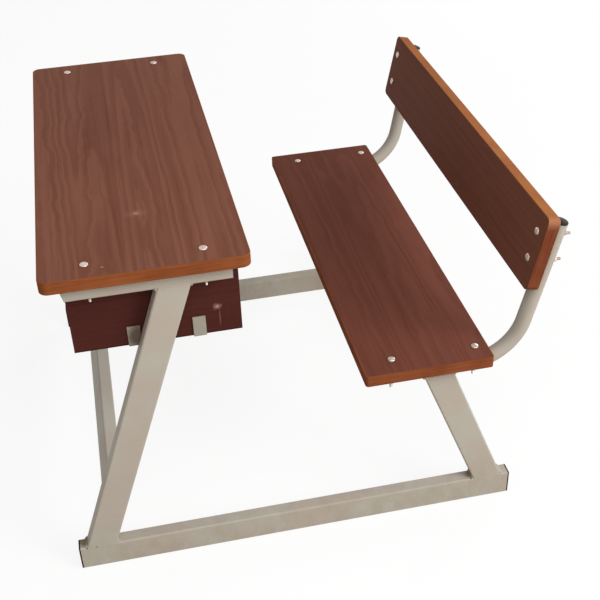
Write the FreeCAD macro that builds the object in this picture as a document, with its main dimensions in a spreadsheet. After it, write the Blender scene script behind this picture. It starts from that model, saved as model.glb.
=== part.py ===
import FreeCAD, Part
import math
import os
import re
import Sketcher

# Double school desk: two steel side frames carry a desktop with a book box, a seat and a backrest.
# X runs from the desk towards the backrest, Y from the left user to the right user, Z up.
# Lengths are in millimetres and angles in degrees.

driving_sizes = {
    "board_length": (1000, "length of the desktop, seat and backrest"),
    "board_thickness": (25, "thickness of the three boards"),
    "desk_corner": (18, "rounded corners of the desktop"),
    "seat_corner": (7, "rounded corners of the seat"),
    "back_corner": (12, "rounded corners of the backrest"),
    "band_thickness": (2, "plastic edge band"),
    "desk_width": (380, "desktop, front to back"),
    "desk_height": (750, "top of the desktop above the floor"),
    "desk_setback": (29, "front end of the foot rail to the front of the desktop"),
    "desk_seat_gap": (212, "rear of the desktop to the front of the seat"),
    "seat_width": (270, "seat, front to back"),
    "seat_height": (425, "top of the seat above the floor"),
    "back_height": (160, "width of the backrest board"),
    "back_base_height": (571, "lower rear edge of the backrest above the floor"),
    "frame_inset": (30, "end of a board to the outer face of the side frame"),
    "tube_width": (60, "wide side of the rectangular tube"),
    "tube_depth": (30, "narrow side of the rectangular tube"),
    "tube_corner": (4, "outer corner radius of the rectangular tube"),
    "tube_wall": (2, "wall of the tubes"),
    "rail_overhang": (73, "rear of the seat to the rear end of the foot rail"),
    "desk_leg_setback": (18, "front end of the foot rail to the foot of the desk leg"),
    "desk_leg_lean": (19.1, "angle of the desk leg from upright"),
    "seat_leg_setback": (21, "rear end of the foot rail to the foot of the seat leg"),
    "seat_leg_lean": (21.6, "angle of the seat leg from upright"),
    "footrest_height": (175, "middle of the footrest bar above the floor"),
    "arm_height": (40, "height of the tube under the desktop"),
    "arm_setback": (31, "front of the desktop to the front end of the arm"),
    "arm_rear_setback": (30, "rear end of the arm to the rear of the desktop"),
    "arm_slant": (14, "angle of the front end of the arm"),
    "arm_plate": (2, "plate that closes the front end of the arm"),
    "seat_tube_diameter": (32, "round tube under the seat and behind the backrest"),
    "bend_radius": (118, "centre line of the bend in the round tube"),
    "seat_tube_inset": (25, "front of the seat to the front end of the round tube"),
    "upright_setback": (52.5, "rear of the seat to the corner of the round tube's centre lines"),
    "upright_lean": (12.2, "angle of the round tube from upright"),
    "upright_splay": (2.5, "angle by which the uprights spread sideways"),
    "upright_top_height": (706, "top end of the round tube above the floor"),
    "plug_flange": (3, "flange of the rectangular end plugs"),
    "plug_insert": (14, "length of a plug inside its tube"),
    "plug_clearance": (0.3, "plug to the inside of its tube"),
    "cap_rim": (2, "straight rim of the round plugs"),
    "cap_dome": (6, "height of the round plugs above the tube"),
    "groove_clearance": (0.3, "round tube to its groove in the seat"),
    "weld_gap": (0.3, "saddle cut to the round tube"),
    "box_setback": (38, "front of the desktop to the front of the book box"),
    "box_rear_setback": (19, "open side of the book box to the rear of the desktop"),
    "box_height": (178, "book box below the desktop"),
    "panel_thickness": (12, "panels of the book box"),
    "strap_width": (25, "steel strap under the book box"),
    "strap_thickness": (3, "steel strap under the book box"),
    "strap_bend": (4, "outer radius of the strap's bends"),
    "strap_rise": (43, "turned-up end of the strap above the underside of the box"),
    "strap_setback": (103, "front of the box to the front strap"),
    "strap_spacing": (125, "front strap to rear strap"),
    "bolt_diameter": (6, "cup head bolt"),
    "bolt_clearance": (0.5, "bolt to the side of its hole"),
    "bolt_tail": (9, "bolt beyond its nut"),
    "head_diameter": (16, "cup head"),
    "head_height": (3.5, "cup head"),
    "nut_width": (10, "nut across its flats"),
    "nut_height": (5, "nut"),
    "thread_clearance": (0.1, "bolt to nut"),
    "desk_bolt_front": (84, "front of the desktop to the front bolts"),
    "desk_bolt_rear": (82, "rear bolts to the rear of the desktop"),
    "seat_bolt_front": (65, "front of the seat to the front bolts"),
    "seat_bolt_rear": (27, "rear bolts to the rear of the seat"),
    "upper_bolt_rise": (118, "lower edge of the backrest to the upper bolts"),
    "left_bolt_rise": (58, "lower edge of the backrest to the left lower bolt"),
    "right_bolt_rise": (46, "lower edge of the backrest to the right lower bolt"),
    "overrun": (5, "how far a cut runs past the surface"),
}

derived_sizes = {
    "frame_outer_y": ("board_length / 2 - frame_inset", "outer face of a side frame"),
    "frame_y": ("frame_outer_y - tube_depth / 2", "middle of a side frame"),
    "frame_inner_y": ("frame_outer_y - tube_depth", "inner face of a side frame"),
    "desk_rear_x": ("desk_setback + desk_width", "rear of the desktop"),
    "seat_x": ("desk_rear_x + desk_seat_gap", "front of the seat"),
    "seat_rear_x": ("seat_x + seat_width", "rear of the seat"),
    "desk_under": ("desk_height - board_thickness", "underside of the desktop"),
    "seat_under": ("seat_height - board_thickness", "underside of the seat"),
    "arm_z": ("desk_under - arm_height / 2", "middle of the arm"),
    "arm_bottom": ("desk_under - arm_height", "underside of the arm"),
    "arm_x": ("desk_setback + arm_setback", "front end of the arm at its top"),
    "arm_rear_x": ("desk_rear_x - arm_rear_setback - plug_flange", "rear end of the arm"),
    "arm_length": ("arm_rear_x - arm_x", "arm along its top"),
    "seat_tube_radius": ("seat_tube_diameter / 2", "outside of the round tube"),
    "seat_tube_z": ("seat_under - seat_tube_radius", "middle of the round tube"),
    "upright_x": ("seat_rear_x + upright_setback", "corner of the round tube's centre lines"),
    "bend_run": ("bend_radius * tan((90 - upright_lean) / 2)", "corner to the ends of the bend"),
    "seat_tube_run": ("seat_width + upright_setback - seat_tube_inset", "corner to the front end"),
    "upright_run": (
        "(upright_top_height - seat_tube_z) / (cos(upright_lean) * cos(upright_splay))",
        "corner to the top end",
    ),
    "back_lean": ("atan(tan(upright_lean) / cos(upright_splay)) * 1 / 1deg", "lean of the backrest"),
    "back_base_x": (
        "upright_x + ((back_base_height - seat_tube_z) * sin(back_lean) - seat_tube_radius)"
        " / cos(back_lean)",
        "lower rear edge of the backrest",
    ),
    "desk_leg_foot": ("desk_leg_setback + tube_width / 2 / cos(desk_leg_lean)", "middle at the rail"),
    "rail_end": ("seat_rear_x + rail_overhang", "rear end of the foot rail with its plug"),
    "rail_length": ("rail_end - 2 * plug_flange", "foot rail without its end plugs"),
    "seat_leg_foot": (
        "rail_end - seat_leg_setback - tube_width / 2 / cos(seat_leg_lean)",
        "middle at the rail",
    ),
    "box_x": ("desk_setback + box_setback", "front of the book box"),
    "box_depth": ("desk_rear_x - box_rear_setback - box_x", "book box, front to back"),
    "box_outer_y": ("frame_inner_y - strap_thickness", "outer face of the box's sides"),
    "box_inner_y": ("box_outer_y - panel_thickness", "inner face of the box's sides"),
    "box_z": ("desk_under - box_height", "underside of the book box"),
    "strap_x": ("box_x + strap_setback", "front edge of the front strap"),
    "bolt_reach": ("nut_height + bolt_tail", "bolt beyond the tube"),
    "desk_bolt_length": ("board_thickness + arm_height + bolt_reach", "shank of a desktop bolt"),
    "seat_bolt_length": ("board_thickness + seat_tube_diameter + bolt_reach", "shank of a seat bolt"),
    "hole_radius": ("bolt_diameter / 2 + bolt_clearance", "hole for a bolt"),
    "head_dome_radius": (
        "((head_diameter / 2) ^ 2 + head_height ^ 2) / (2 * head_height)",
        "dome of the bolt head",
    ),
    "cap_rise": ("cap_dome - cap_rim", "rise of a round plug's dome"),
    "cap_dome_radius": (
        "(seat_tube_radius ^ 2 + cap_rise ^ 2) / (2 * cap_rise)",
        "dome of a round plug",
    ),
    "overall_depth": (
        "back_base_x + upper_bolt_rise * sin(back_lean)"
        " + (seat_tube_diameter + bolt_reach) * cos(back_lean)"
        " + bolt_diameter / 2 * sin(back_lean)",
        "foot rail's front end to the rearmost bolt end",
    ),
    "origin_x": ("overall_depth / 2", "place of the origin behind the foot rail's front end"),
}

doc = FreeCAD.newDocument("double_school_desk")
sheet = doc.addObject("Spreadsheet::Sheet", "sizes")


def fill_sheet():
    rows = [(name, str(size), note) for name, (size, note) in driving_sizes.items()]
    rows += [(name, "=" + rule, note) for name, (rule, note) in derived_sizes.items()]
    for row, (name, content, note) in enumerate(rows, start=1):
        sheet.set(f"A{row}", name.replace("_", " "))
        sheet.set(f"B{row}", content)
        sheet.setAlias(f"B{row}", name)
        sheet.set(f"C{row}", note)
    doc.recompute()


fill_sheet()
size_words = re.compile(r"\b(" + "|".join([*driving_sizes, *derived_sizes]) + r")\b")


def linked(rule):
    return size_words.sub(r"sizes.\1", rule)


def value(rule):
    result = sheet.evalExpression(linked(rule))
    return float(getattr(result, "Value", result))


def bind(thing, target, rule):
    thing.setExpression(target, linked(rule))


def place(thing, x, y, z, angle="0"):
    """Put a piece at x behind the rail's front end, y and z, turned about Y."""
    base = f"vector({x} - origin_x; {y}; {z})"
    bind(thing, "Placement", f"placement({base}; rotation(vector(0; 1; 0); {angle}))")


# Sketch geometry, each point and radius tied to the sheet

def new_body(label):
    body = doc.addObject("PartDesign::Body", label)
    body.Label = label
    return body


def new_sketch(body, plane_name, offset=None):
    plane = next(p for p in body.Origin.OriginFeatures if p.Role == plane_name + "_Plane")
    sketch = body.newObject("Sketcher::SketchObject", "sketch")
    sketch.AttachmentSupport = [(plane, "")]
    sketch.MapMode = "FlatFace"
    if offset:
        bind(sketch, "AttachmentOffset.Base.z", offset)
    return sketch


def fix_size(sketch, kind, references, rule):
    index = sketch.addConstraint(Sketcher.Constraint(kind, *references, value(rule)))
    name = f"size{index}"
    sketch.renameConstraint(index, name)
    bind(sketch, "Constraints." + name, rule)


def fix_point(sketch, edge, end, x, y):
    fix_size(sketch, "DistanceX", (-1, 1, edge, end), x)
    fix_size(sketch, "DistanceY", (-1, 1, edge, end), y)


def circle(sketch, x, y, radius):
    centre = FreeCAD.Vector(value(x), value(y), 0)
    edge = sketch.addGeometry(Part.Circle(centre, FreeCAD.Vector(0, 0, 1), value(radius)))
    fix_point(sketch, edge, 3, x, y)
    fix_size(sketch, "Radius", (edge,), radius)


def outline(sketch, points, arcs=None):
    """Closed outline; arcs maps a segment to its centre and radius, bulging away from the centre."""
    arcs = arcs or {}
    corners = [FreeCAD.Vector(value(x), value(y), 0) for x, y in points]
    ends = []
    for index, start in enumerate(corners):
        finish = corners[(index + 1) % len(corners)]
        if index not in arcs:
            edge = sketch.addGeometry(Part.LineSegment(start, finish))
            ends.append((edge, 1, 2))
            continue
        centre_x, centre_y, radius = arcs[index]
        centre = FreeCAD.Vector(value(centre_x), value(centre_y), 0)
        middle = (start + finish) * 0.5 - centre
        middle.normalize()
        bulge = centre + middle * value(radius)
        edge = sketch.addGeometry(Part.Arc(start, bulge, finish))
        to_start = [sketch.getPoint(edge, end).distanceToPoint(start) for end in (1, 2)]
        forward = to_start[0] < to_start[1]
        ends.append((edge, 1, 2) if forward else (edge, 2, 1))
        fix_size(sketch, "Radius", (edge,), radius)
    for index, (edge, first, last) in enumerate(ends):
        next_edge, next_first, _ = ends[(index + 1) % len(ends)]
        sketch.addConstraint(Sketcher.Constraint("Coincident", edge, last, next_edge, next_first))
        fix_point(sketch, edge, first, *points[index])


def rounded_rectangle(sketch, width, height, corner):
    half_x, half_y = f"({width}) / 2", f"({height}) / 2"
    inner_x, inner_y = f"({half_x} - ({corner}))", f"({half_y} - ({corner}))"
    points = []
    arcs = {}
    for sign_x, sign_y, along_x in ((1, -1, False), (1, 1, True), (-1, 1, False), (-1, -1, True)):
        before = (f"{sign_x} * {inner_x}", f"{sign_y} * {half_y}")
        after = (f"{sign_x} * {half_x}", f"{sign_y} * {inner_y}")
        arcs[len(points)] = (f"{sign_x} * {inner_x}", f"{sign_y} * {inner_y}", corner)
        points += [after, before] if along_x else [before, after]
    outline(sketch, points, arcs)


# Features and pieces

def extrude(body, sketch, length, symmetric=False):
    feature = body.newObject("PartDesign::Pad", "pad")
    feature.Profile = sketch
    if symmetric:
        feature.SideType = "Symmetric"
    bind(feature, "Length", length)
    return feature


def cut_through(body, sketch, length):
    """Symmetric cut about the sketch's plane, which has to remove something."""
    doc.recompute()
    volume_before = body.Tip.Shape.Volume
    feature = body.newObject("PartDesign::Pocket", "pocket")
    feature.Profile = sketch
    feature.SideType = "Symmetric"
    bind(feature, "Length", length)
    doc.recompute()
    if not feature.Shape.Volume < volume_before:
        raise RuntimeError("cut removes nothing from " + body.Label)
    return feature


def revolve(label, points, arcs):
    body = new_body(label)
    sketch = new_sketch(body, "XZ")
    outline(sketch, points, arcs)
    feature = body.newObject("PartDesign::Revolution", "revolution")
    feature.Profile = sketch
    feature.ReferenceAxis = (sketch, ["V_Axis"])
    return body


def group(label, piece, places):
    """One node of identical separate solids."""
    copies = []
    for x, y, z, angle in places:
        copy = doc.addObject("App::Link", "copy")
        copy.LinkedObject = piece
        place(copy, x, y, z, angle)
        copies.append(copy)
    compound = doc.addObject("Part::Compound", label)
    compound.Links = copies
    compound.Label = label
    return compound


def drill(label, blank, radius, bores):
    """Cut round bores; each is x, y, z, length and the angle by which it turns from upright."""
    tools = []
    for x, y, z, length, angle in bores:
        tool = doc.addObject("Part::Cylinder", "bore")
        bind(tool, "Radius", radius)
        bind(tool, "Height", length)
        place(tool, x, y, z, angle)
        tools.append(tool)
    cutter = tools[0]
    if len(tools) > 1:
        cutter = doc.addObject("Part::MultiFuse", "bores")
        cutter.Shapes = tools
    piece = doc.addObject("Part::Cut", label)
    piece.Base = blank
    piece.Tool = cutter
    piece.Label = label
    return piece


def rectangular_tube(label, plane, width, length, start=None, symmetric=False):
    body = new_body(label)
    sketch = new_sketch(body, plane, start)
    rounded_rectangle(sketch, width, "tube_depth", "tube_corner")
    hollow = f"({width} - 2 * tube_wall)"
    rounded_rectangle(sketch, hollow, "(tube_depth - 2 * tube_wall)", "(tube_corner - tube_wall)")
    extrude(body, sketch, length, symmetric)
    return body


def leaning_leg(label, lean, height):
    """Tube cut level at both ends; a positive lean tilts its top backwards."""
    slope = f"tan({lean})"
    length = f"({height}) / cos({lean})"
    wedge = f"(tube_width / 2 * abs({slope}))"
    body = rectangular_tube(label, "XY", "tube_width", f"{length} + 2 * {wedge}", f"-{wedge}")
    side = "(tube_width / 2 + overrun)"
    reach = f"({side} * abs({slope}) + overrun)"
    sketch = new_sketch(body, "XZ")
    for level, beyond in (("0", f"-{reach}"), (length, f"{length} + {reach}")):
        outline(sketch, [
            (f"-{side}", f"{level} - {side} * {slope}"),
            (side, f"{level} + {side} * {slope}"),
            (side, beyond),
            (f"-{side}", beyond),
        ])
    cut_through(body, sketch, "tube_depth + 2 * overrun")
    return body


def flanged_plug(label, width):
    """Plastic end plug; its outer face looks along the piece's own Z."""
    body = new_body(label)
    flange = new_sketch(body, "XY")
    rounded_rectangle(flange, width, "tube_depth", "tube_corner")
    extrude(body, flange, "plug_flange")
    insert = new_sketch(body, "XY", "-plug_insert")
    shrink = "2 * tube_wall - 2 * plug_clearance"
    corner = "(tube_corner - tube_wall - plug_clearance)"
    rounded_rectangle(insert, f"({width} - {shrink})", f"(tube_depth - {shrink})", corner)
    extrude(body, insert, "plug_insert")
    return body


def round_plug(label):
    """Domed plug of the round tube; its dome looks along the piece's own Z."""
    insert = "(seat_tube_radius - tube_wall - plug_clearance)"
    points = [
        ("0", "-plug_insert"),
        (insert, "-plug_insert"),
        (insert, "0"),
        ("seat_tube_radius", "0"),
        ("seat_tube_radius", "cap_rim"),
        ("0", "cap_dome"),
    ]
    return revolve(label, points, {4: ("0", "cap_dome - cap_dome_radius", "cap_dome_radius")})


def cup_bolt(label, length):
    """Bolt with its domed head above the piece's own XY plane."""
    points = [
        ("0", f"-{length}"),
        ("bolt_diameter / 2", f"-{length}"),
        ("bolt_diameter / 2", "0"),
        ("head_diameter / 2", "0"),
        ("0", "head_height"),
    ]
    return revolve(label, points, {3: ("0", "head_height - head_dome_radius", "head_dome_radius")})


def board_pieces(name, width, corner, centre, angle, holes):
    """A board with bolt holes and its edge band; centre is the middle of its underside or rear."""
    board = new_body(name + "_board")
    sketch = new_sketch(board, "XY")
    core = f"({width} - 2 * band_thickness)"
    core_corner = f"({corner} - band_thickness)"
    core_length = "(board_length - 2 * band_thickness)"
    rounded_rectangle(sketch, core, core_length, core_corner)
    extrude(board, sketch, "board_thickness")
    bores = new_sketch(board, "XY")
    for x, y in holes:
        circle(bores, x, y, "hole_radius")
    cut_through(board, bores, "2 * (board_thickness + overrun)")
    band = new_body(name + "_edge_band")
    sketch = new_sketch(band, "XY")
    rounded_rectangle(sketch, width, "board_length", corner)
    rounded_rectangle(sketch, core, core_length, core_corner)
    extrude(band, sketch, "board_thickness")
    for piece in (board, band):
        place(piece, *centre, angle=angle)
    return [board, band]


def box_panel(label, corner, lengths):
    panel = doc.addObject("Part::Box", label)
    panel.Label = label
    for target, rule in zip(("Length", "Width", "Height"), lengths):
        bind(panel, target, rule)
    place(panel, *corner)
    return panel


# Places that several pieces share

sides = (("left", "-"), ("right", ""))

desk_bolt_xs = ("desk_setback + desk_bolt_front", "desk_rear_x - desk_bolt_rear")
seat_bolt_xs = ("seat_x + seat_bolt_front", "seat_rear_x - seat_bolt_rear")
back_turn = "back_lean - 90"


def back_point(rise, out):
    """A point on the middle line of a bolt: up the backrest, and out in front of its rear face."""
    x = f"back_base_x + ({rise}) * sin(back_lean) - ({out}) * cos(back_lean)"
    z = f"back_base_height + ({rise}) * cos(back_lean) + ({out}) * sin(back_lean)"
    return x, z


def back_bolt_y(rise):
    """The height of the tube's middle at a bolt gives how far the upright has spread there."""
    _, tube_z = back_point(rise, "-seat_tube_radius")
    return f"(frame_y + ({tube_z} - seat_tube_z) * tan(upright_splay))"


back_bolts = [
    (side, rise, sign + back_bolt_y(rise))
    for side, sign in sides
    for rise in ("upper_bolt_rise", side + "_bolt_rise")
]


def board_nodes():
    desk_middle = "desk_setback + desk_width / 2"
    seat_middle = "seat_x + seat_width / 2"
    back_x, back_z = back_point("back_height / 2", "0")
    desk_holes = [(f"{x} - ({desk_middle})", f"{sign}frame_y") for x in desk_bolt_xs for _, sign in sides]
    seat_holes = [(f"{x} - ({seat_middle})", f"{sign}frame_y") for x in seat_bolt_xs for _, sign in sides]
    back_holes = [(f"{rise} - back_height / 2", y) for _, rise, y in back_bolts]
    nodes = []
    for name, width, centre, angle, holes in (
        ("desk", "desk_width", (desk_middle, "0", "desk_under"), "0", desk_holes),
        ("seat", "seat_width", (seat_middle, "0", "seat_under"), "0", seat_holes),
        ("back", "back_height", (back_x, "0", back_z), back_turn, back_holes),
    ):
        label = {"desk": "desktop", "back": "backrest"}.get(name, name)
        pieces = board_pieces(label, width, name + "_corner", centre, angle, holes)
        nodes += grooved(pieces) if name == "seat" else pieces
    return nodes


def grooved(pieces):
    """The bends start to rise under the rear of the seat, in two grooves of its underside."""
    cutters = doc.addObject("Part::MultiFuse", "tube_grooves")
    cutters.Shapes = [
        swept_round("groove", sign, "-bend_run - overrun", ("seat_tube_radius + groove_clearance",))
        for _, sign in sides
    ]
    cuts = []
    for piece in pieces:
        label = piece.Label
        piece.Label = label + "_blank"
        cut = doc.addObject("Part::Cut", label)
        cut.Label = label
        cut.Base = piece
        cut.Tool = cutters
        cuts.append(cut)
    return cuts


def foot_rail(side, sign):
    rail = rectangular_tube(side + "_foot_rail", "XY", "tube_width", "rail_length")
    place(rail, "plug_flange", f"{sign}frame_y", "tube_width / 2", angle="90")
    return [rail]


def desk_leg(side, sign):
    leg = leaning_leg(side + "_desk_leg", "desk_leg_lean", "arm_bottom - tube_width")
    place(leg, "desk_leg_foot", f"{sign}frame_y", "tube_width", angle="desk_leg_lean")
    return [leg]


def desk_arm(side, sign):
    """Tube under the desktop, slanted in front and closed there by a plate."""
    blank = rectangular_tube(side + "_arm_blank", "XY", "arm_height", "arm_length")
    slope = "tan(arm_slant)"
    top = "(arm_height / 2 + overrun)"
    sketch = new_sketch(blank, "XZ")
    outline(sketch, [
        (f"-{top}", f"-overrun * {slope}"),
        (top, f"(arm_height + overrun) * {slope}"),
        (top, "-overrun"),
        (f"-{top}", "-overrun"),
    ])
    cut_through(blank, sketch, "tube_depth + 2 * overrun")
    place(blank, "arm_x", f"{sign}frame_y", "arm_z", angle="90")
    bores = [
        (x, f"{sign}frame_y", "arm_bottom - overrun", "arm_height + 2 * overrun", "0") for x in desk_bolt_xs
    ]
    arm = drill(side + "_desk_arm", blank, "hole_radius", bores)
    plate = new_body(side + "_arm_end_plate")
    sketch = new_sketch(plate, "XY")
    rounded_rectangle(sketch, "(arm_height / cos(arm_slant))", "tube_depth", "tube_corner")
    extrude(plate, sketch, "arm_plate")
    plate_x = f"arm_x + arm_height / 2 * {slope}"
    place(plate, plate_x, f"{sign}frame_y", "arm_z", angle="-90 - arm_slant")
    return [arm, plate]


def seat_leg(side, sign):
    """Its top is cut to a saddle for the round tube."""
    blank = leaning_leg(side + "_seat_leg_blank", "-seat_leg_lean", "seat_tube_z - tube_width")
    place(blank, "seat_leg_foot", f"{sign}frame_y", "tube_width", angle="-seat_leg_lean")
    saddle = ("0", f"{sign}frame_y", "seat_tube_z", "rail_end", "90")
    return [drill(side + "_seat_leg", blank, "seat_tube_radius + weld_gap", [saddle])]


def swept_round(label, sign, front, radii):
    """A round bar or tube along the bent centre line, from its front end to the upright's top."""
    blank = new_body(label)
    path = new_sketch(blank, "XZ")
    rise = ("sin(upright_lean)", "cos(upright_lean)")
    points = [
        (front, "0"),
        ("-bend_run", "0"),
        tuple(f"bend_run * {part}" for part in rise),
        tuple(f"upright_run * {part}" for part in rise),
    ]
    corners = [FreeCAD.Vector(value(x), value(y), 0) for x, y in points]
    bend_centre = FreeCAD.Vector(value("-bend_run"), value("bend_radius"), 0)
    middle = (corners[1] + corners[2]) * 0.5 - bend_centre
    middle.normalize()
    lowest = bend_centre + middle * value("bend_radius")
    path.addGeometry(Part.LineSegment(corners[0], corners[1]))
    path.addGeometry(Part.Arc(corners[1], lowest, corners[2]))
    path.addGeometry(Part.LineSegment(corners[2], corners[3]))
    path.addConstraint(Sketcher.Constraint("Coincident", 0, 2, 1, 1))
    path.addConstraint(Sketcher.Constraint("Coincident", 1, 2, 2, 1))
    for edge, end, corner in ((0, 1, 0), (0, 2, 1), (2, 1, 2), (2, 2, 3)):
        fix_point(path, edge, end, *points[corner])
    fix_size(path, "Radius", (1,), "bend_radius")
    section = new_sketch(blank, "YZ", front)
    for radius in radii:
        circle(section, "0", "0", radius)
    pipe = blank.newObject("PartDesign::AdditivePipe", "pipe")
    pipe.Profile = section
    pipe.Spine = (path, ["Edge1", "Edge2", "Edge3"])
    bind(blank, "Placement", splayed(sign, "0", "0"))
    return blank


def seat_back_tube(side, sign):
    """One round tube runs under the seat, bends up behind it and carries the backrest."""
    radii = ("seat_tube_radius", "seat_tube_radius - tube_wall")
    blank = swept_round(side + "_tube_blank", sign, "-seat_tube_run", radii)
    bores = [
        (x, f"{sign}frame_y", "seat_under - seat_tube_diameter - overrun",
         "seat_tube_diameter + 2 * overrun", "0")
        for x in seat_bolt_xs
    ]
    for bolt_side, rise, y in back_bolts:
        if bolt_side == side:
            x, z = back_point(rise, "-seat_tube_diameter - overrun")
            bores.append((x, y, z, "seat_tube_diameter + 2 * overrun", back_turn))
    return [drill(side + "_seat_back_tube", blank, "hole_radius", bores)]


def splayed(sign, lean, run):
    """A place on the round tube: run along it from the corner of its centre lines, at a lean."""
    corner = f"vector(upright_x - origin_x; {sign}frame_y; seat_tube_z)"
    spread = f"rotation(vector(-1; 0; 0); {sign}upright_splay)"
    turn = f"rotation(vector(0; 1; 0); {lean})"
    along = f"placement(vector(0; 0; {run}); rotation(vector(0; 0; 1); 0))"
    return f"placement({corner}; {spread} * {turn}) * {along}"


def frame_nodes():
    nodes = []
    for side, sign in sides:
        for make in (foot_rail, desk_leg, desk_arm, seat_leg, seat_back_tube):
            nodes += make(side, sign)
    return nodes


def plug_nodes():
    """Plastic plugs in the open ends of the tubes, the same ones sharing a node."""
    rail_plug = flanged_plug("rail_plug", "tube_width")
    arm_plug = flanged_plug("arm_plug", "arm_height")
    tube_plug = round_plug("tube_plug")
    rail_places = [
        (x, f"{sign}frame_y", "tube_width / 2", angle)
        for x, angle in (("plug_flange", "-90"), ("rail_end - plug_flange", "90"))
        for _, sign in sides
    ]
    arm_places = [("arm_rear_x", f"{sign}frame_y", "arm_z", "90") for _, sign in sides]
    seat_places = [("upright_x - seat_tube_run", f"{sign}frame_y", "seat_tube_z", "-90") for _, sign in sides]
    caps = group("upright_caps", tube_plug, [("0", "0", "0", "0") for _ in sides])
    for cap, (_, sign) in zip(caps.Links, sides):
        bind(cap, "Placement", splayed(sign, "upright_lean", "upright_run"))
    return [
        group("foot_rail_plugs", rail_plug, rail_places),
        group("desk_arm_plugs", arm_plug, arm_places),
        group("seat_tube_plugs", tube_plug, seat_places),
        caps,
    ]


def footrest_nodes():
    """Tube between the desk legs, its faces in line with theirs."""
    body = new_body("footrest_bar")
    sketch = new_sketch(body, "XZ")
    rounded_rectangle(sketch, "tube_depth", "tube_width", "tube_corner")
    hollow = ("(tube_depth - 2 * tube_wall)", "(tube_width - 2 * tube_wall)")
    rounded_rectangle(sketch, *hollow, "(tube_corner - tube_wall)")
    extrude(body, sketch, "2 * frame_inner_y", symmetric=True)
    x = "desk_leg_foot + (footrest_height - tube_width) * tan(desk_leg_lean)"
    place(body, x, "0", "footrest_height", angle="desk_leg_lean")
    return [body]


def box_nodes():
    """Book box of five panels, open towards the seat, with two straps under it."""
    inner_x = "box_x + panel_thickness"
    inner_depth = "box_depth - panel_thickness"
    inner_z = "box_z + panel_thickness"
    inner_height = "box_height - panel_thickness"
    width = "2 * box_inner_y"
    side = ("box_depth", "panel_thickness", "box_height")
    front = ("panel_thickness", width, "box_height")
    nodes = [
        box_panel("box_left_side", ("box_x", "-box_outer_y", "box_z"), side),
        box_panel("box_right_side", ("box_x", "box_inner_y", "box_z"), side),
        box_panel("box_front_panel", ("box_x", "-box_inner_y", "box_z"), front),
        box_panel("box_floor", (inner_x, "-box_inner_y", "box_z"), (inner_depth, width, "panel_thickness")),
        box_panel("box_divider", (inner_x, "-panel_thickness / 2", inner_z),
                  (inner_depth, "panel_thickness", inner_height)),
    ]
    nodes.append(strap("box_front_strap", "box_x + strap_setback"))
    nodes.append(strap("box_rear_strap", "box_x + strap_setback + strap_spacing"))
    return nodes


def strap(label, x):
    """Flat steel under the box, its two ends turned up against the box's sides."""
    body = new_body(label)
    sketch = new_sketch(body, "YZ")
    outer, inner, bend = "frame_inner_y", "box_outer_y", "strap_bend"
    bend_z = f"{bend} - strap_thickness"
    points = [
        (f"-{outer}", "strap_rise"),
        (f"-{outer}", bend_z),
        (f"{bend} - {outer}", "-strap_thickness"),
        (f"{outer} - {bend}", "-strap_thickness"),
        (outer, bend_z),
        (outer, "strap_rise"),
        (inner, "strap_rise"),
        (inner, "0"),
        (f"-{inner}", "0"),
        (f"-{inner}", "strap_rise"),
    ]
    arcs = {1: (f"{bend} - {outer}", bend_z, bend), 3: (f"{outer} - {bend}", bend_z, bend)}
    outline(sketch, points, arcs)
    extrude(body, sketch, "strap_width")
    place(body, x, "0", "box_z")
    return body


def nut_body():
    body = new_body("nut")
    sketch = new_sketch(body, "XY")
    reach = "nut_width / sqrt(3)"
    angles = (30, 90, 150, 210, 270, 330)
    outline(sketch, [(f"{reach} * cos({angle})", f"{reach} * sin({angle})") for angle in angles])
    circle(sketch, "0", "0", "bolt_diameter / 2 + thread_clearance")
    extrude(body, sketch, "nut_height")
    return body


def bolt_nodes():
    """Bolts through the boards and tubes, and the nuts under or behind the tubes."""
    desk_bolt = cup_bolt("desk_bolt", "(board_thickness + arm_height + bolt_reach)")
    seat_bolt = cup_bolt("seat_bolt", "(board_thickness + seat_tube_diameter + bolt_reach)")
    nut = nut_body()
    nodes = []
    for name, bolt, xs, top, under in (
        ("desktop", desk_bolt, desk_bolt_xs, "desk_height", "arm_bottom"),
        ("seat", seat_bolt, seat_bolt_xs, "seat_height", "seat_under - seat_tube_diameter"),
    ):
        spots = [(x, f"{sign}frame_y") for x in xs for _, sign in sides]
        nodes.append(group(name + "_bolts", bolt, [(x, y, top, "0") for x, y in spots]))
        nodes.append(group(name + "_nuts", nut, [(x, y, f"{under} - nut_height", "0") for x, y in spots]))
    for kind, piece, out in (
        ("bolts", seat_bolt, "board_thickness"),
        ("nuts", nut, "-seat_tube_diameter - nut_height"),
    ):
        places = []
        for _, rise, y in back_bolts:
            x, z = back_point(rise, out)
            places.append((x, y, z, back_turn))
        nodes.append(group(f"backrest_{kind}", piece, places))
    return nodes


def check_and_export(nodes):
    doc.recompute()
    for thing in doc.Objects:
        if "Invalid" in thing.State or "Error" in thing.State:
            raise RuntimeError(thing.Label + " did not build")
    for node in nodes:
        if node.Shape.isNull() or not node.Shape.isValid():
            raise RuntimeError(node.Label + " has no valid shape")
    os.makedirs("parts", exist_ok=True)
    for node in nodes:
        node.Shape.exportStep(f"parts/{node.Label}.step")
        print(node.Label, len(node.Shape.Solids), round(node.Shape.Volume, 1))


check_and_export(board_nodes() + frame_nodes() + plug_nodes() + footrest_nodes() + box_nodes() + bolt_nodes())
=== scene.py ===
import math

import bmesh
import bpy
from mathutils import Matrix, Vector


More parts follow.
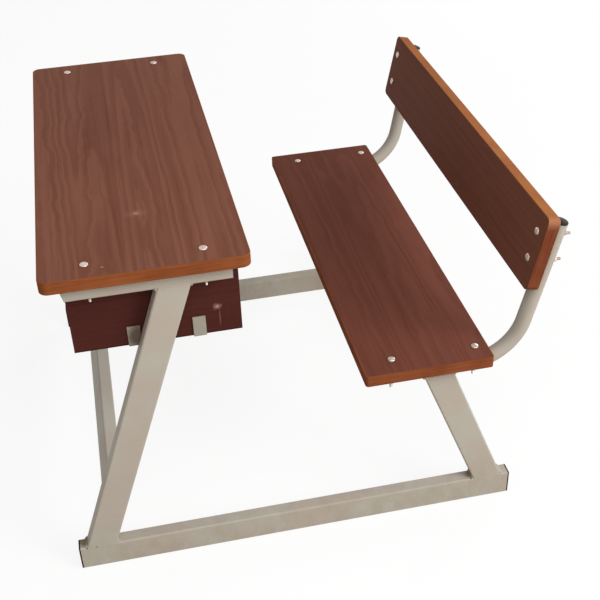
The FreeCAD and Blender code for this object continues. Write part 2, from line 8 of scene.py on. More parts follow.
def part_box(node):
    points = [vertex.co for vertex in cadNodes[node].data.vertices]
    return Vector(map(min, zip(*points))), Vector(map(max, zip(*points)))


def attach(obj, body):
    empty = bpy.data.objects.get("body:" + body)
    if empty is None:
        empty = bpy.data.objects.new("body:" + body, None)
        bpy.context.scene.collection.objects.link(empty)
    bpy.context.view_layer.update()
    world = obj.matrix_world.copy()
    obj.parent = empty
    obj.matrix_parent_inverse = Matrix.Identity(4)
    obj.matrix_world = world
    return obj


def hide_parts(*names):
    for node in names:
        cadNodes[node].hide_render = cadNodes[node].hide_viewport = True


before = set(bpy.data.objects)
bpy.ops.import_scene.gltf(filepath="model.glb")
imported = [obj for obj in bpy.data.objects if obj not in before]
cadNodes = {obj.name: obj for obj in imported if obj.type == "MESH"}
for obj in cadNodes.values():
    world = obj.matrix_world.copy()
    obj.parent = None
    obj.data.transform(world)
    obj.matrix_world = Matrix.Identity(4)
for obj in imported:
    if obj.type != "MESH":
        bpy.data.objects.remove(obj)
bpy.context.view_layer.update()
mm = 0.001
sides = (("left", -1), ("right", 1))  # left is the near side in the photograph
print("frame loaded:", len(cadNodes), "nodes")

# Sizes that several pieces share, the same as in the part
frameShape = {
    "middleY": 455 * mm,  # middle of each side frame
    "tubeWidth": 60 * mm, "tubeDepth": 30 * mm, "tubeCorner": 4 * mm,
    "railTop": 60 * mm, "armUnder": 685 * mm, "boardThickness": 25 * mm,
}


# Colours are written as they look on a screen, 0 to 255
def tint(red, green, blue):
    shares = [channel / 255 for channel in (red, green, blue)]
    return [((c + 0.055) / 1.055) ** 2.4 if c > 0.04045 else c / 12.92 for c in shares] + [1.0]


def addNode(tree, kind, settings=None, inputs=None):
    node = tree.nodes.new(kind)
    for name, setting in (settings or {}).items():
        setattr(node, name, setting)
    for name, source in (inputs or {}).items():
        if isinstance(source, bpy.types.NodeSocket):
            tree.links.new(source, node.inputs[name])
        else:
            node.inputs[name].default_value = source
    return node


def calculate(tree, operation, first, second=0.0, third=0.0):
    inputs = {0: first, 1: second, 2: third}
    return addNode(tree, "ShaderNodeMath", {"operation": operation}, inputs).outputs[0]


def strongest(tree, first, *others):
    for other in others:
        first = calculate(tree, "MAXIMUM", first, other)
    return first


def stretchedNoise(tree, place, scale, stretch=(1, 1, 1), detail=3.0, roughness=0.5, distortion=0.0,
                   offset=0.0):
    stretched = addNode(tree, "ShaderNodeMapping", None, {
        "Vector": place, "Location": (offset, offset, offset), "Scale": stretch}).outputs[0]
    return addNode(tree, "ShaderNodeTexNoise", None, {
        "Vector": stretched, "Scale": scale, "Detail": detail, "Roughness": roughness,
        "Distortion": distortion}).outputs[0]


def stepAt(tree, source, low, high, fromValue=0.0, toValue=1.0):
    return addNode(tree, "ShaderNodeMapRange", {"interpolation_type": "SMOOTHSTEP"}, {
        "Value": source, "From Min": low, "From Max": high,
        "To Min": fromValue, "To Max": toValue}).outputs[0]


def blend(tree, share, first, second):
    inputs = {0: share, 6: first, 7: second}  # the Mix node's factor and its two colours
    return addNode(tree, "ShaderNodeMix", {"data_type": "RGBA"}, inputs).outputs[2]


# From a look's dark tone over its middle one to its pale one
def toneRamp(tree, source, look):
    ramp = addNode(tree, "ShaderNodeValToRGB", None, {"Fac": source})
    elements = ramp.color_ramp.elements
    elements.new(0.5)
    for element, share, tone in zip(elements, (0.0, 0.5, 1.0), ("dark", "middle", "pale")):
        element.position = share
        element.color = tint(*look[tone])
    return ramp.outputs[0]


def heightOf(tree, place):
    return addNode(tree, "ShaderNodeSeparateXYZ", None, {0: place}).outputs[2]


# A mark at one place: a soft-edged, ragged patch whose size is given along each axis. It has its
# full strength up to the inner share of that size and fades to nothing at the outer one.
def spot(tree, place, centre, size, ragged=0.35, outer=1.0, inner=0.5, strength=1.0):
    moved = addNode(tree, "ShaderNodeMapping", {"vector_type": "TEXTURE"}, {
        "Vector": place, "Location": centre, "Scale": size}).outputs[0]
    distance = addNode(tree, "ShaderNodeVectorMath", {"operation": "LENGTH"}, {0: moved}).outputs["Value"]
    edge = calculate(tree, "SUBTRACT", stretchedNoise(tree, place, 210, detail=4.0, roughness=0.7), 0.5)
    reach = calculate(tree, "MULTIPLY_ADD", edge, ragged * 2, distance)
    return stepAt(tree, reach, outer, inner, toValue=strength)


def newMaterial(name):
    material = bpy.data.materials.new(name)
    material.use_nodes = True
    tree = material.node_tree
    shader = tree.nodes["Principled BSDF"]
    place = addNode(tree, "ShaderNodeTexCoord").outputs["Object"]
    return material, tree, shader, place


# Each finish ends here: its colour, roughness, gloss and bump reach the shader
def endMaterial(tree, shader, shape, colour, roughness, height):
    tree.links.new(colour, shader.inputs["Base Color"])
    tree.links.new(roughness, shader.inputs["Roughness"])
    shader.inputs["Specular IOR Level"].default_value = shape["gloss"]
    bump = addNode(tree, "ShaderNodeBump", None, {
        "Height": height, "Distance": shape["bumpDepth"], "Strength": shape["bumpStrength"]})
    tree.links.new(bump.outputs[0], shader.inputs["Normal"])


# Wood-grain laminate: wavy bands, thin dark lines, fine streaks and short pores along the grain
# All the boards are one laminate: the seat's, backrest's and box's tones are darker copies of the desktop's,
# painted shade
laminateLook = {
    "desktop": {"dark": (103, 62, 48), "middle": (118, 74, 59), "pale": (131, 86, 69),
                "along": "Y", "figure": 0.36},
    "seat": {"dark": (94, 53, 42), "middle": (109, 63, 50), "pale": (121, 73, 59),
             "along": "Y", "figure": 0.28},
    "backrest": {"dark": (99, 57, 44), "middle": (115, 70, 55), "pale": (127, 80, 64),
                 "along": "Y", "figure": 0.18},
    "box": {"dark": (62, 30, 27), "middle": (73, 37, 33), "pale": (84, 44, 39),
            "along": "X", "figure": 0.14},
}
grainShape = {
    "wanderScale": 9, "wanderStretch": 0.8, "waviness": 10 * mm,
    "ringScale": 17, "ringStretch": 0.022, "ringCount": 4.5, "ringRise": (0.0, 0.75), "ringFall": (1.0, 0.8),
    "stretch": 0.018, "lineScale": 95, "lineRange": (0.52, 0.68), "lineDepth": 0.6,
    "streakScale": 340, "streakRange": (0.3, 0.7), "streakShare": 0.2, "streakHeight": 0.4,
    "cloudScale": 6, "cloudStretch": 0.3, "cloudRange": (0.25, 0.75), "cloudShare": 0.24,
    "poreScale": 1300, "poreStretch": 0.06, "poreRange": (0.36, 0.28), "poreShare": 0.3, "poreTone": 0.7,
    "evenTone": 0.36, "roughness": 0.42, "roughnessSpread": 0.16, "gloss": 0.02,
    "bumpDepth": 0.1 * mm, "bumpStrength": 0.5,
}


def laminate(name, wear=None):
    look = laminateLook[name]
    shape = grainShape
    material, tree, shader, place = newMaterial(name + "Laminate")

    def alongGrain(share):
        return [share if axis == look["along"] else 1 for axis in "XYZ"]

    wander = stretchedNoise(tree, place, shape["wanderScale"], alongGrain(shape["wanderStretch"]),
                            detail=2.0, roughness=0.6)
    shift = calculate(tree, "MULTIPLY", calculate(tree, "SUBTRACT", wander, 0.5), shape["waviness"] * 2)
    wavy = addNode(tree, "ShaderNodeVectorMath", {"operation": "ADD"}, {0: place, 1: shift}).outputs[0]
    rings = stretchedNoise(tree, wavy, shape["ringScale"], alongGrain(shape["ringStretch"]),
                           detail=0.0, offset=0.37)
    ring = calculate(tree, "FRACT", calculate(tree, "MULTIPLY", rings, shape["ringCount"] * 2))
    bands = calculate(tree, "MULTIPLY", stepAt(tree, ring, *shape["ringRise"]),
                      stepAt(tree, ring, *shape["ringFall"]))
    grain = alongGrain(shape["stretch"])
    lines = stretchedNoise(tree, wavy, shape["lineScale"], grain, detail=2.0, offset=0.59)
    lines = stepAt(tree, lines, *shape["lineRange"])
    streaks = stretchedNoise(tree, place, shape["streakScale"], grain, roughness=0.6, distortion=0.3,
                             offset=0.81)
    clouds = stretchedNoise(tree, place, shape["cloudScale"], alongGrain(shape["cloudStretch"]),
                            detail=2.0, distortion=0.3, offset=0.23)
    clouds = stepAt(tree, clouds, *shape["cloudRange"], toValue=shape["cloudShare"])
    pores = stretchedNoise(tree, place, shape["poreScale"], alongGrain(shape["poreStretch"]), detail=2.0)
    pores = stepAt(tree, pores, *shape["poreRange"], toValue=shape["poreShare"])

    figure = look["figure"]
    tone = calculate(tree, "MULTIPLY_ADD", bands, figure, clouds)
    tone = calculate(tree, "ADD", tone, stepAt(tree, streaks, *shape["streakRange"],
                                               toValue=shape["streakShare"]))
    tone = calculate(tree, "ADD", tone, shape["evenTone"] - figure / 2)
    tone = calculate(tree, "MULTIPLY_ADD", lines, -shape["lineDepth"] * figure, tone)
    colour = toneRamp(tree, tone, look)
    colour = blend(tree, pores, colour, tint(*[shape["poreTone"] * part for part in look["dark"]]))
    roughness = calculate(tree, "MULTIPLY_ADD", streaks, shape["roughnessSpread"], shape["roughness"])
    if wear:
        colour, roughness = wear(tree, place, colour, roughness)
    height = calculate(tree, "SUBTRACT", calculate(tree, "MULTIPLY", streaks, shape["streakHeight"]), pores)
    endMaterial(tree, shader, shape, colour, roughness, height)
    return material


deskLow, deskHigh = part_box("desktop_edge_band")
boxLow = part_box("box_left_side")[0]
scuffPlace = (deskLow[0] + 190 * mm, -295 * mm, deskHigh[2])
chipPlace = (deskLow[0] + 315.5 * mm, boxLow[1], boxLow[2] + 59 * mm)
runLength = 52 * mm
deskMarks = [
    {"centre": scuffPlace, "size": (9 * mm, 8 * mm, 20 * mm), "ragged": 0.5, "inner": 0.3, "strength": 0.5},
    {"centre": scuffPlace, "size": (26 * mm, 15 * mm, 20 * mm), "ragged": 0.9, "outer": 1.1, "inner": 0.2,
     "strength": 0.12},
    {"centre": (deskLow[0] + 115.5 * mm, -471 * mm, deskHigh[2]), "size": (4 * mm, 3 * mm, 20 * mm),
     "strength": 0.5},
]
boxMarks = [  # a chip, its pale ring and the run below it
    {"centre": chipPlace, "size": (5 * mm, 20 * mm, 5 * mm), "ragged": 0.4, "strength": 0.8},
    {"centre": chipPlace, "size": (11 * mm, 20 * mm, 9 * mm), "ragged": 0.8, "inner": 0.4, "strength": 0.35},
    {"centre": (chipPlace[0] + 3.6 * mm, chipPlace[1], chipPlace[2] - runLength / 2),
     "size": (1.8 * mm, 20 * mm, runLength / 2), "ragged": 0.3, "inner": 0.4, "strength": 0.22},
]
wearLook = {
    "desk": (184, 146, 132), "deskDulling": 0.3, "box": (176, 130, 124), "boxShine": 0.12,
    "lowEdge": (38, 22, 20), "lowEdgeHeight": 2.2 * mm, "lowEdgeFade": 1.6, "lowEdgeShare": 0.55,
}


def deskWear(tree, place, colour, roughness):
    share = strongest(tree, *[spot(tree, place, **mark) for mark in deskMarks])
    colour = blend(tree, share, colour, tint(*wearLook["desk"]))
    return colour, calculate(tree, "MULTIPLY_ADD", share, wearLook["deskDulling"], roughness)


# On the box's near side: the marks, and the panel's darker lower edge
def boxWear(tree, place, colour, roughness):
    share = strongest(tree, *[spot(tree, place, **mark) for mark in boxMarks])
    colour = blend(tree, share, colour, tint(*wearLook["box"]))
    edge = wearLook["lowEdgeHeight"]
    lowEdge = stepAt(tree, heightOf(tree, place), boxLow[2] + edge * wearLook["lowEdgeFade"],
                     boxLow[2] + edge, toValue=wearLook["lowEdgeShare"])
    colour = blend(tree, lowEdge, colour, tint(*wearLook["lowEdge"]))
    shine = calculate(tree, "MULTIPLY", share, wearLook["boxShine"])
    return colour, calculate(tree, "SUBTRACT", roughness, shine)


# The backrest leans with the uprights that carry it, which also spread a little
uprightShape = {"lean": math.radians(12.2), "splay": math.radians(2.5)}
backShape = {
    "lean": math.atan(math.tan(uprightShape["lean"]) / math.cos(uprightShape["splay"])),
    "width": 160 * mm, "baseHeight": 571 * mm,
    "boltRise": {"upper": 118 * mm, "left": 58 * mm, "right": 46 * mm},
}

# Edge band: soft streaks run along the band, so they change only through the board's thickness
# All the bands are one plastic: the seat's and backrest's tones are darker copies of the desktop's, painted
# shade
bandLook = {
    "desktop": {"dark": (122, 65, 36), "middle": (137, 77, 44), "pale": (149, 88, 54)},
    "seat": {"dark": (114, 60, 36), "middle": (131, 72, 44), "pale": (143, 83, 53)},
    "backrest": {"dark": (102, 52, 34), "middle": (119, 64, 42), "pale": (132, 75, 50)},
    "paleTop": (176, 112, 64), "rubsAndHighlight": (168, 118, 92),
}
bandShape = {
    "streakScale": 230, "streakStretch": 0.045, "cloudScale": 14, "toneRange": (0.28, 0.72),
    "rubScale": 150, "rubRange": (0.66, 0.74), "rubShare": 0.3,
    "paleTopFrom": 14 * mm, "paleTopFully": 5 * mm, "paleTopShare": 0.8, "paleTopPatches": (0.2, 0.75, 1.0, 0.55),
    "roughness": 0.55, "roughnessSpread": 0.15, "gloss": 0.01,
    "bumpDepth": 0.08 * mm, "bumpStrength": 0.35,
}
backBandLow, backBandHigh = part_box("backrest_edge_band")
# A paler patch on the backrest band's near top corner: a painted highlight
cornerHighlight = {
    "centre": (backBandHigh[0] - 12 * mm, backBandLow[1], backBandHigh[2] - 8 * mm),
    "size": (30 * mm, 16 * mm, 14 * mm), "ragged": 0.3, "outer": 1.3, "inner": 0.3, "strength": 0.6,
}


def edgeBand(name, lean=0.0):
    shape = bandShape
    material, tree, shader, place = newMaterial(name + "BandPlastic")
    turned = addNode(tree, "ShaderNodeMapping", None, {"Vector": place, "Rotation": (0, -lean, 0)}).outputs[0]
    long = shape["streakStretch"]
    streaks = stretchedNoise(tree, turned, shape["streakScale"], (1, long, long) if lean else (long, long, 1),
                             roughness=0.6, distortion=0.2)
    clouds = stretchedNoise(tree, place, shape["cloudScale"], detail=2.0)
    rubs = stretchedNoise(tree, place, shape["rubScale"], roughness=0.7, offset=0.4)
    tone = calculate(tree, "MULTIPLY_ADD", streaks, 0.5, calculate(tree, "MULTIPLY", clouds, 0.5))
    colour = toneRamp(tree, stepAt(tree, tone, *shape["toneRange"]), bandLook[name])
    if lean:  # the backrest's top edge is paler in patches: painted light on its upward face, partly wear; its near top corner gets a painted highlight
        top = backBandHigh[2]
        paleTop = stepAt(tree, heightOf(tree, place), top - shape["paleTopFrom"], top - shape["paleTopFully"],
                      toValue=shape["paleTopShare"])
        paleTop = calculate(tree, "MULTIPLY", paleTop, stepAt(tree, clouds, *shape["paleTopPatches"]))
        colour = blend(tree, paleTop, colour, tint(*bandLook["paleTop"]))
        colour = blend(tree, spot(tree, place, **cornerHighlight), colour, tint(*bandLook["rubsAndHighlight"]))
    rubsAndHighlight = stepAt(tree, rubs, *shape["rubRange"], toValue=shape["rubShare"])
    colour = blend(tree, rubsAndHighlight, colour, tint(*bandLook["rubsAndHighlight"]))
    roughness = calculate(tree, "MULTIPLY_ADD", streaks, shape["roughnessSpread"], shape["roughness"])
    endMaterial(tree, shader, shape, colour, roughness, streaks)
    return material


# Powder coat: orange peel, faint clouds, patches darker and rougher towards the bottom, scratches and specks
paintLook = {
    "frame": {"clean": (180, 176, 164), "shade": (179, 168, 156), "lowDarkening": (161, 149, 132)},
    # The straps' coat is the frame's coat made darker: painted shade under the box
    "strap": {"clean": (156, 151, 139), "shade": (149, 142, 130), "lowDarkening": (142, 130, 115)},
    "scratch": (128, 112, 94), "shadowAndHeatTint": (112, 88, 66), "dustAndShadow": (92, 72, 62), "pinhole": (88, 72, 60),
}
paintShape = {
    "cloudScale": 7, "cloudRange": (0.35, 0.65), "peelScale": 620,
    "lowDarkeningHeight": (160 * mm, 20 * mm), "lowDarkeningRange": (0.3, 0.7), "lowDarkeningShare": 0.5, "lowDarkeningRoughness": 0.25,
    "rubScale": 26, "rubStretch": (1, 1, 0.6), "rubRange": (0.7, 0.8), "rubShare": 0.2,
    "speckScale": 240, "speckRange": (0.78, 0.81), "speckShare": 0.6, "markDepth": 1.5,
    "roughness": 0.42, "roughnessSpread": 0.12, "gloss": 0.1,
    "bumpDepth": 0.05 * mm, "bumpStrength": 0.4,
}
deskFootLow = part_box("left_desk_leg")[0]
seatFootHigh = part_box("left_seat_leg")[1]
strapLow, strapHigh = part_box("box_front_strap")
footShadowAndHeat = [  # beside the legs' feet on both frames, so Y counts from the middle. Mostly the legs' painted shadow on the rail tops, with some weld heat tint
    {"centre": (deskFootLow[0] - 8 * mm, 448 * mm, 62 * mm), "size": (24 * mm, 21 * mm, 9 * mm),
     "ragged": 0.3, "outer": 1.15, "inner": 0.35, "strength": 0.75},
    {"centre": (seatFootHigh[0] - 68 * mm, 450 * mm, 62 * mm), "size": (16 * mm, 18 * mm, 9 * mm),
     "ragged": 0.3, "outer": 1.15, "inner": 0.35, "strength": 0.5},
]
pinholes = [  # in the near frame's ground welds
    {"centre": (along, deskFootLow[1], height), "size": (2.2 * mm, 4 * mm, 1.6 * mm),
     "ragged": 0.1, "outer": 1.2}
    for along, height in ((-502 * mm, 58 * mm), (-481 * mm, 58.5 * mm), (355 * mm, 59.5 * mm))
]
legShadowOnStrap = {  # painted shadow of the near leg on the strap behind it
    "centre": (strapHigh[0] - 6 * mm, strapLow[1], strapLow[2] + 24 * mm),
    "size": (20 * mm, 12 * mm, 26 * mm), "outer": 1.25, "strength": 0.8,
}


# Weld heat tint and pinholes, and painted shadows of the legs on the rail tops and on the front strap
def stainsAndPaintedShadows(tree, place, colour):
    parts = addNode(tree, "ShaderNodeSeparateXYZ", None, {0: place}).outputs
    mirrored = addNode(tree, "ShaderNodeCombineXYZ", None, {
        "X": parts[0], "Y": calculate(tree, "ABSOLUTE", parts[1]), "Z": parts[2]}).outputs[0]
    stains = [(mirrored, mark, "shadowAndHeatTint") for mark in footShadowAndHeat]
    stains += [(place, mark, "pinhole") for mark in pinholes]
    stains += [(place, legShadowOnStrap, "dustAndShadow")]
    for where, mark, toneName in stains:
        colour = blend(tree, spot(tree, where, **mark), colour, tint(*paintLook[toneName]))
    return colour


def powderCoat(name):
    look = paintLook[name]
    shape = paintShape
    material, tree, shader, place = newMaterial(name + "PowderCoat")
    clouds = stretchedNoise(tree, place, shape["cloudScale"])
    peel = stretchedNoise(tree, place, shape["peelScale"], detail=2.0)
    rubs = stretchedNoise(tree, place, shape["rubScale"], shape["rubStretch"], detail=4.0, roughness=0.7,
                          distortion=0.6)
    specks = stretchedNoise(tree, place, shape["speckScale"], detail=1.0, offset=0.5)
    shaded = stepAt(tree, clouds, *shape["cloudRange"])
    colour = blend(tree, shaded, tint(*look["clean"]), tint(*look["shade"]))
    low = stepAt(tree, heightOf(tree, place), *shape["lowDarkeningHeight"], toValue=shape["lowDarkeningShare"])
    lowDarkening = calculate(tree, "MULTIPLY", low, stepAt(tree, rubs, *shape["lowDarkeningRange"]))
    colour = blend(tree, lowDarkening, colour, tint(*look["lowDarkening"]))
    marks = strongest(tree, stepAt(tree, rubs, *shape["rubRange"], toValue=shape["rubShare"]),
                      stepAt(tree, specks, *shape["speckRange"], toValue=shape["speckShare"]))
    colour = stainsAndPaintedShadows(tree, place, blend(tree, marks, colour, tint(*paintLook["scratch"])))
    roughness = calculate(tree, "MULTIPLY_ADD", clouds, shape["roughnessSpread"], shape["roughness"])
    roughness = calculate(tree, "MULTIPLY_ADD", lowDarkening, shape["lowDarkeningRoughness"], roughness)
    height = calculate(tree, "MULTIPLY_ADD", marks, -shape["markDepth"], peel)
    endMaterial(tree, shader, shape, colour, roughness, height)
    return material


plasticShape = {
    "clean": (34, 32, 28), "dustAndShadow": (84, 77, 62), "dustScale": 60, "dustRange": (0.45, 0.7), "dustShare": 0.5,
    "mouldScale": 900, "roughness": 0.45, "roughnessSpread": 0.25, "gloss": 0.08,
    "bumpDepth": 0.08 * mm, "bumpStrength": 0.4,
}
zincShape = {
    "bright": (216, 202, 190), "dull": (176, 161, 148), "castScale": 120, "castRange": (0.35, 0.7),
    "fineScale": 1400, "metallic": 0.85, "roughness": 0.22, "roughnessSpread": 0.3, "gloss": 0.5,
    "bumpDepth": 0.04 * mm, "bumpStrength": 0.35,
}


def blackPlastic():
    shape = plasticShape
    material, tree, shader, place = newMaterial("blackPlugPlastic")
    mould = stretchedNoise(tree, place, shape["mouldScale"])
    dust = stretchedNoise(tree, place, shape["dustScale"], detail=4.0, roughness=0.7)
    share = stepAt(tree, dust, *shape["dustRange"], toValue=shape["dustShare"])
    colour = blend(tree, share, tint(*shape["clean"]), tint(*shape["dustAndShadow"]))
    roughness = calculate(tree, "MULTIPLY_ADD", dust, shape["roughnessSpread"], shape["roughness"])
    endMaterial(tree, shader, shape, colour, roughness, mould)
    return material


def zincPlate():
    shape = zincShape
    material, tree, shader, place = newMaterial("zincPlate")
    cast = stretchedNoise(tree, place, shape["castScale"], detail=4.0, roughness=0.65)
    fine = stretchedNoise(tree, place, shape["fineScale"], detail=2.0)
    share = stepAt(tree, cast, *shape["castRange"])
    colour = blend(tree, share, tint(*shape["bright"]), tint(*shape["dull"]))
    shader.inputs["Metallic"].default_value = shape["metallic"]
    roughness = calculate(tree, "MULTIPLY_ADD", cast, shape["roughnessSpread"], shape["roughness"])
    endMaterial(tree, shader, shape, colour, roughness, fine)
    return material


finish = {
    "desktop": laminate("desktop", deskWear),
    "seat": laminate("seat"),
    "backrest": laminate("backrest"),
    "box": laminate("box", boxWear),
    "desktopBand": edgeBand("desktop"),
    "seatBand": edgeBand("seat"),
    "backrestBand": edgeBand("backrest", backShape["lean"]),
    "paint": powderCoat("frame"),
    "strapShadedPaint": powderCoat("strap"),
    "plastic": blackPlastic(),
    "zinc": zincPlate(),
}
print("materials made:", len(finish))


# Putting finished meshes into the scene

def addObject(name, data):
    thing = bpy.data.objects.new(name, data)
    bpy.context.scene.collection.objects.link(thing)
    return thing


def addPiece(name, mesh, material, replaced=()):
    mesh.materials.clear()
    mesh.materials.append(material)
    for face in mesh.polygons:
        face.material_index = 0
    piece = addObject(name, mesh)
    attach(piece, "root")
    if replaced:
        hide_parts(*replaced)


def bakedMesh(worker):
    graph = bpy.context.evaluated_depsgraph_get()
    graph.update()
    mesh = bpy.data.meshes.new_from_object(worker.evaluated_get(graph), depsgraph=graph)
    source = worker.data
    bpy.data.objects.remove(worker)
    bpy.data.meshes.remove(source)
    return mesh


def meshFrom(edit, name):
    mesh = bpy.data.meshes.new(name)
    edit.to_mesh(mesh)
    edit.free()
    return mesh


def sharpened(mesh, angle):
    mesh.shade_smooth()
    mesh.set_sharp_from_angle(angle=angle)
    return mesh


easing = {
    "board": {"edgeRadius": 0.35 * mm, "steps": 2},
    "band": {"edgeRadius": 0.8 * mm, "steps": 3},
    "panel": {"edgeRadius": 0.5 * mm, "steps": 2},
    "steel": {"edgeRadius": 0.4 * mm, "steps": 2},
    "plug": {"edgeRadius": 0.6 * mm, "steps": 3},
}
mending = {"mergeWithin": 0.002 * mm, "flatWithin": math.radians(0.4), "sharpFrom": math.radians(40)}


# A copy of a CAD node with merged points, flat faces made whole and eased edges
def easedCopy(nodeName, edgeRadius, steps):
    edit = bmesh.new()
    edit.from_mesh(cadNodes[nodeName].data)
    bmesh.ops.remove_doubles(edit, verts=edit.verts, dist=mending["mergeWithin"])
    bmesh.ops.dissolve_limit(edit, angle_limit=mending["flatWithin"], verts=edit.verts, edges=edit.edges)
    mesh = meshFrom(edit, nodeName + "Eased")
    worker = addObject(nodeName + "Worker", mesh)
    bevel = worker.modifiers.new("ease", "BEVEL")
    bevel.width = edgeRadius
    bevel.segments = steps
    bevel.limit_method = "ANGLE"
    bevel.angle_limit = mending["sharpFrom"]
    bevel.use_clamp_overlap = True
    mesh.shade_smooth()
    worker.modifiers.new("even", "WEIGHTED_NORMAL")
    return bakedMesh(worker)


boards = ("desktop", "seat", "backrest")
dressing = [(board + "_board", "board", board, "board_laminate") for board in boards]
dressing += [(board + "_edge_band", "band", board + "Band", "edge_band") for board in boards]
dressing += [(panel, "panel", "box", "box_panel")
             for panel in ("box_left_side", "box_right_side", "box_floor", "box_front_panel", "box_divider")]
dressing += [(side + "_" + tube, "steel", "paint", "frame_paint") for side, _ in sides
             for tube in ("foot_rail", "desk_leg", "desk_arm", "arm_end_plate", "seat_leg")]
dressing += [("footrest_bar", "steel", "paint", "frame_paint")]
dressing += [(strap, "steel", "strapShadedPaint", "frame_paint") for strap in ("box_front_strap", "box_rear_strap")]
dressing += [(plugs, "plug", "plastic", "black_plastic")
             for plugs in ("foot_rail_plugs", "desk_arm_plugs", "seat_tube_plugs", "upright_caps")]
for nodeName, kind, finishName, slotName in dressing:
    mesh = easedCopy(nodeName, **easing[kind])
    addPiece(nodeName + "Dressed", mesh, finish[finishName], [nodeName])
print("boards, panels, tubes and plugs dressed:", len(dressing))


# Geometry Nodes

def newTree(name, **sizes):
    tree = bpy.data.node_groups.new(name, "GeometryNodeTree")
    tree.interface.new_socket("Geometry", in_out="INPUT", socket_type="NodeSocketGeometry")
    tree.interface.new_socket("Geometry", in_out="OUTPUT", socket_type="NodeSocketGeometry")
    for label, kind in sizes.items():
        tree.interface.new_socket(label, in_out="INPUT", socket_type="NodeSocket" + kind)
    return tree, tree.nodes.new("NodeGroupInput"), tree.nodes.new("NodeGroupOutput")


def endTree(tree, geometry, start, end):
    real = addNode(tree, "GeometryNodeRealizeInstances", None, {0: geometry}).outputs[0]
    smooth = addNode(tree, "GeometryNodeSetShadeSmooth", None, {0: real}).outputs[0]
    coated = addNode(tree, "GeometryNodeSetMaterial", None, {0: smooth, "Material": start.outputs["finish"]})
    tree.links.new(coated.outputs[0], end.inputs[0])


def runTree(name, mesh, tree, sizes):
    worker = addObject(name + "Worker", mesh)
    modifier = worker.modifiers.new("make", "NODES")
    modifier.node_group = tree
    for socket in tree.interface.items_tree:
        if socket.in_out == "INPUT" and socket.name in sizes:
            modifier[socket.identifier] = sizes[socket.name]
    return bakedMesh(worker)


def pathMesh(name, paths):
    mesh = bpy.data.meshes.new(name)
    points = []
    edges = []
    for path, closed in paths:
        first = len(points)
        points += path
        edges += [(first + k, first + k + 1) for k in range(len(path) - 1)]
        if closed:
            edges.append((len(points) - 1, first))
    mesh.from_pydata(points, edges, [])
    return mesh


# The bent, splayed round tubes that carry the seat and the backrest
seatLow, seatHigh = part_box("seat_edge_band")
tubeShape = {
    "radius": 16 * mm, "bend": 118 * mm, "middleHeight": 384 * mm, "topHeight": 706 * mm,
    "frontBehindSeatFront": 25 * mm, "cornerBehindSeat": 52.5 * mm,
    "straightSteps": 12, "bendSteps": 40, "sidesAround": 64,
}


def sweepTree():
    tree, start, end = newTree("sweptTube", outerRadius="Float", sidesAround="Int", finish="Material")
    line = addNode(tree, "GeometryNodeMeshToCurve", None, {0: start.outputs[0]}).outputs[0]
    ring = addNode(tree, "GeometryNodeCurvePrimitiveCircle", None, {
        "Resolution": start.outputs["sidesAround"], "Radius": start.outputs["outerRadius"]}).outputs[0]
    tube = addNode(tree, "GeometryNodeCurveToMesh", None, {0: line, 1: ring, "Fill Caps": True}).outputs[0]
    endTree(tree, tube, start, end)
    return tree


# A point of the centre line, from the corner where its two straight runs would meet
def onTube(side, along, height):
    cornerX = seatHigh[0] + tubeShape["cornerBehindSeat"]
    splay = uprightShape["splay"]
    return Vector((cornerX + along, side * (frameShape["middleY"] + height * math.sin(splay)),
                   tubeShape["middleHeight"] + height * math.cos(splay)))


def tubePath(side):
    shape = tubeShape
    lean = uprightShape["lean"]
    bendRun = shape["bend"] * math.tan((math.pi / 2 - lean) / 2)
    rise = (shape["topHeight"] - shape["middleHeight"]) / math.cos(uprightShape["splay"])
    frontX = seatLow[0] + shape["frontBehindSeatFront"] - seatHigh[0] - shape["cornerBehindSeat"]
    straight = shape["straightSteps"]
    path = [onTube(side, frontX + (-bendRun - frontX) * k / straight, 0) for k in range(straight)]
    for k in range(shape["bendSteps"] + 1):
        angle = (math.pi / 2 - lean) * k / shape["bendSteps"]
        path.append(onTube(side, -bendRun + shape["bend"] * math.sin(angle),
                           shape["bend"] * (1 - math.cos(angle))))
    bendTop = bendRun * math.cos(lean)
    for k in range(1, straight + 1):
        height = bendTop + (rise - bendTop) * k / straight
        path.append(onTube(side, height * math.tan(lean), height))
    return path


sweep = sweepTree()
for sideName, side in sides:
    tube = runTree(sideName + "Tube", pathMesh("tubeLine", [(tubePath(side), False)]), sweep, {
        "outerRadius": tubeShape["radius"], "sidesAround": tubeShape["sidesAround"],
        "finish": finish["paint"]})
    nodeName = sideName + "_seat_back_tube"
    addPiece(nodeName + "Swept", tube, finish["paint"], [nodeName])
print("round tubes swept")


# Fasteners: domed bolts with a thread at the tail, and chamfered nuts

boltShape = {
    "length": {"desktop": 79 * mm, "seat": 71 * mm, "backrest": 71 * mm}, "shank": 3 * mm, "around": 36,
    "head": 8 * mm, "rim": 0.6 * mm, "rimEase": 0.3 * mm, "dome": 3.5 * mm, "domeTop": 0.4 * mm,
    "domeSteps": 12, "domeFullness": 0.92,
    "pitch": 1 * mm, "threadDepth": 0.45 * mm, "threadLength": 17 * mm, "threadEnd": 0.5 * mm,
    "stepsInTurn": 8, "tipShare": 0.78, "tipSteps": 10,
}
nutShape = {"flats": 10 * mm, "height": 5 * mm, "bore": 3.05 * mm, "boreEase": 0.5 * mm, "around": 72,
            "faceShare": 0.96, "chamfer": math.radians(30)}
fastenerLook = {"turnSpread": 6.2, "firstSeed": 11, "sharpFrom": math.radians(32)}


